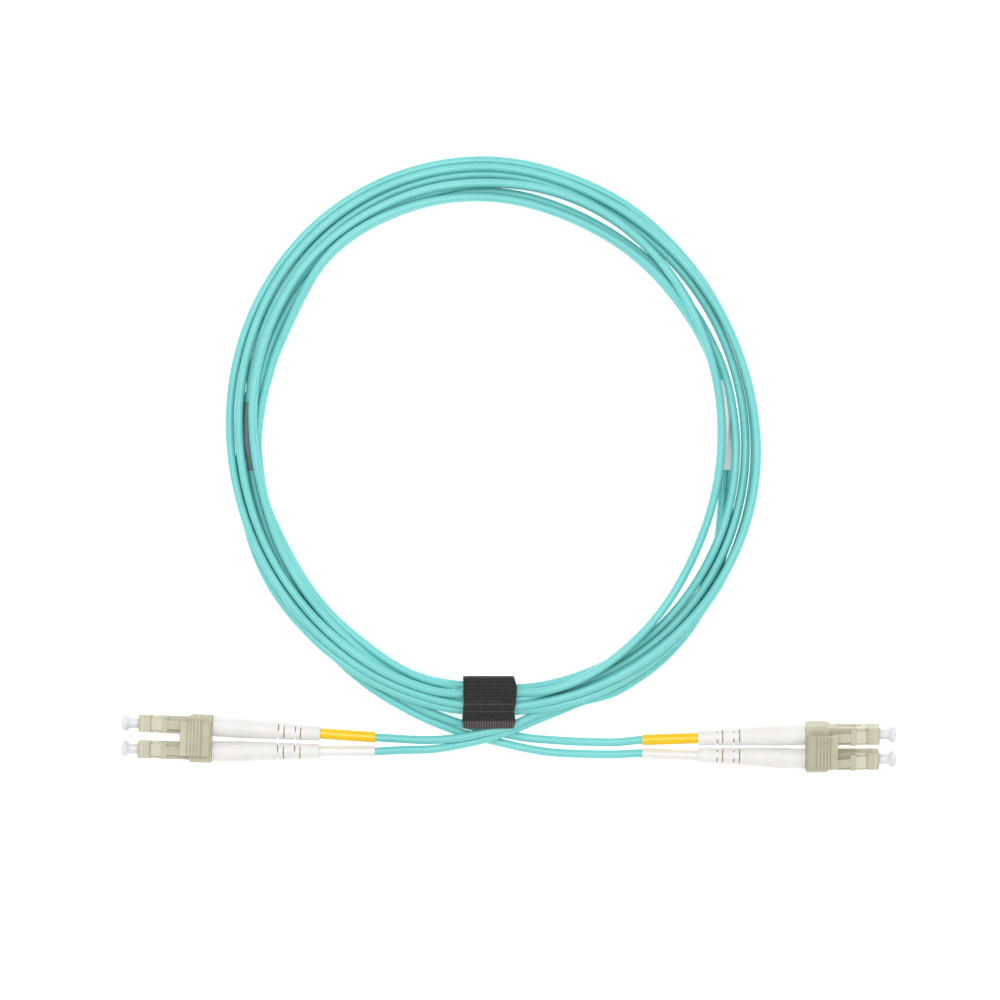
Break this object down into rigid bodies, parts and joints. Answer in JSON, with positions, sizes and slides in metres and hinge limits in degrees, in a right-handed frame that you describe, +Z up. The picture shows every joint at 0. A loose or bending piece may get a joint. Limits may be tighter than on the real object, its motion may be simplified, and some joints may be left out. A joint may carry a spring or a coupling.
{
  "type": "fiber optic patch cord",
  "caption": "Coiled duplex fibre patch cord in an aqua jacket, tied with a hook-and-loop band, with a clipped pair of latching plugs, boots and dust caps on each end.",
  "frame": {"origin": "middle of the tie's underside, on the surface that the coiled cord lies on", "axes": "+Z up from that surface; +Y from the tie to the coil's centre; +X along the plugs, from end A's plugs to end B's"},
  "size_m": [0.1877, 0.1467, 0.0105],
  "materials": {
    "aqua_jacket": "satin soft PVC jacket",
    "beige_plastic": "fine moulded satin",
    "boot_white": "satin soft elastomer",
    "cap_clear": "frosted translucent",
    "marker_yellow": "shrunk satin sleeve",
    "marker_white": "shrunk satin sleeve",
    "ceramic_white": "polished zirconia",
    "nickel": "nickel plated",
    "spring_steel": "drawn wire",
    "buffer_white": "smooth",
    "tie_black": "woven hook-and-loop",
    "label_paper": "matt wrap label"
  },
  "bodies": {
    "cord": {"coil": "aqua_jacket", "tie": "tie_black", "label_a": "label_paper", "label_b": "label_paper", "a_clip": "beige_plastic", "b_clip": "beige_plastic", "a1_housing": "beige_plastic", "a1_spring": "spring_steel", "a1_rear_body": "nickel", "a1_crimp": "nickel", "a1_boot": "boot_white", "a1_marker": "marker_yellow", "a1_lead": "aqua_jacket", "a2_housing": "beige_plastic", "a2_spring": "spring_steel", "a2_rear_body": "nickel", "a2_crimp": "nickel", "a2_boot": "boot_white", "a2_marker": "marker_white", "a2_lead": "aqua_jacket", "b1_housing": "beige_plastic", "b1_spring": "spring_steel", "b1_rear_body": "nickel", "b1_crimp": "nickel", "b1_boot": "boot_white", "b1_marker": "marker_yellow", "b1_lead": "aqua_jacket", "b2_housing": "beige_plastic", "b2_spring": "spring_steel", "b2_rear_body": "nickel", "b2_crimp": "nickel", "b2_boot": "boot_white", "b2_marker": "marker_white", "b2_lead": "aqua_jacket"},
    "a_trigger": {"a_trigger": "beige_plastic"},
    "a1_latch": {"a1_latch": "beige_plastic"},
    "a1_ferrule": {"a1_ferrule": "ceramic_white", "a1_flange": "nickel", "a1_fibre": "buffer_white"},
    "a1_cap": {"a1_cap": "cap_clear"},
    "a2_latch": {"a2_latch": "beige_plastic"},
    "a2_ferrule": {"a2_ferrule": "ceramic_white", "a2_flange": "nickel", "a2_fibre": "buffer_white"},
    "a2_cap": {"a2_cap": "cap_clear"},
    "b_trigger": {"b_trigger": "beige_plastic"},
    "b1_latch": {"b1_latch": "beige_plastic"},
    "b1_ferrule": {"b1_ferrule": "ceramic_white", "b1_flange": "nickel", "b1_fibre": "buffer_white"},
    "b1_cap": {"b1_cap": "cap_clear"},
    "b2_latch": {"b2_latch": "beige_plastic"},
    "b2_ferrule": {"b2_ferrule": "ceramic_white", "b2_flange": "nickel", "b2_fibre": "buffer_white"},
    "b2_cap": {"b2_cap": "cap_clear"}
  },
  "joints": [
    {"name": "a_trigger_press", "type": "hinge", "parent": "cord", "child": "a_trigger", "pos_m": [-0.069, -0.00977, 0.007], "axis": [-0.0349, -0.9994, 0], "range_deg": [0, 14], "stiffness_Nm_per_rad": 0.002, "springref_deg": -2.86},
    {"name": "a1_latch_flex", "type": "hinge", "parent": "cord", "child": "a1_latch", "pos_m": [-0.08248, -0.00617, 0.0046], "axis": [-0.0349, -0.9994, 0], "range_deg": [-9, 0]},
    {"name": "a1_ferrule_slide", "type": "slide", "parent": "cord", "child": "a1_ferrule", "axis": [0.9994, -0.0349, 0], "range_m": [0, 0.001], "stiffness_N_per_m": 50, "springref_m": -0.001, "deforming": ["a1_spring"]},
    {"name": "a1_cap_pull", "type": "slide", "parent": "cord", "child": "a1_cap", "axis": [-0.9994, 0.0349, 0], "range_m": [0, 0.012]},
    {"name": "a2_latch_flex", "type": "hinge", "parent": "cord", "child": "a2_latch", "pos_m": [-0.0827, -0.01241, 0.0046], "axis": [-0.0349, -0.9994, 0], "range_deg": [-9, 0]},
    {"name": "a2_ferrule_slide", "type": "slide", "parent": "cord", "child": "a2_ferrule", "axis": [0.9994, -0.0349, 0], "range_m": [0, 0.001], "stiffness_N_per_m": 50, "springref_m": -0.001, "deforming": ["a2_spring"]},
    {"name": "a2_cap_pull", "type": "slide", "parent": "cord", "child": "a2_cap", "axis": [-0.9994, 0.0349, 0], "range_m": [0, 0.012]},
    {"name": "b_trigger_press", "type": "hinge", "parent": "cord", "child": "b_trigger", "pos_m": [0.0766, -0.01279, 0.0082], "axis": [0, 0.9703, 0.2419], "range_deg": [0, 14], "stiffness_Nm_per_rad": 0.002, "springref_deg": -2.86},
    {"name": "b1_latch_flex", "type": "hinge", "parent": "cord", "child": "b1_latch", "pos_m": [0.0902, -0.00918, 0.00662], "axis": [0, 0.9703, 0.2419], "range_deg": [-9, 0]},
    {"name": "b1_ferrule_slide", "type": "slide", "parent": "cord", "child": "b1_ferrule", "axis": [-1, 0, 0], "range_m": [0, 0.001], "stiffness_N_per_m": 50, "springref_m": -0.001, "deforming": ["b1_spring"]},
    {"name": "b1_cap_pull", "type": "slide", "parent": "cord", "child": "b1_cap", "axis": [1, 0, 0], "range_m": [0, 0.012]},
    {"name": "b2_latch_flex", "type": "hinge", "parent": "cord", "child": "b2_latch", "pos_m": [0.0902, -0.01524, 0.00511], "axis": [0, 0.9703, 0.2419], "range_deg": [-9, 0]},
    {"name": "b2_ferrule_slide", "type": "slide", "parent": "cord", "child": "b2_ferrule", "axis": [-1, 0, 0], "range_m": [0, 0.001], "stiffness_N_per_m": 50, "springref_m": -0.001, "deforming": ["b2_spring"]},
    {"name": "b2_cap_pull", "type": "slide", "parent": "cord", "child": "b2_cap", "axis": [1, 0, 0], "range_m": [0, 0.012]}
  ],
  "couplings": [
    {"joint": "a1_latch_flex", "follows": "a_trigger_press", "ratio": -0.64286},
    {"joint": "a2_latch_flex", "follows": "a_trigger_press", "ratio": -0.64286},
    {"joint": "b1_latch_flex", "follows": "b_trigger_press", "ratio": -0.64286},
    {"joint": "b2_latch_flex", "follows": "b_trigger_press", "ratio": -0.64286}
  ]
}
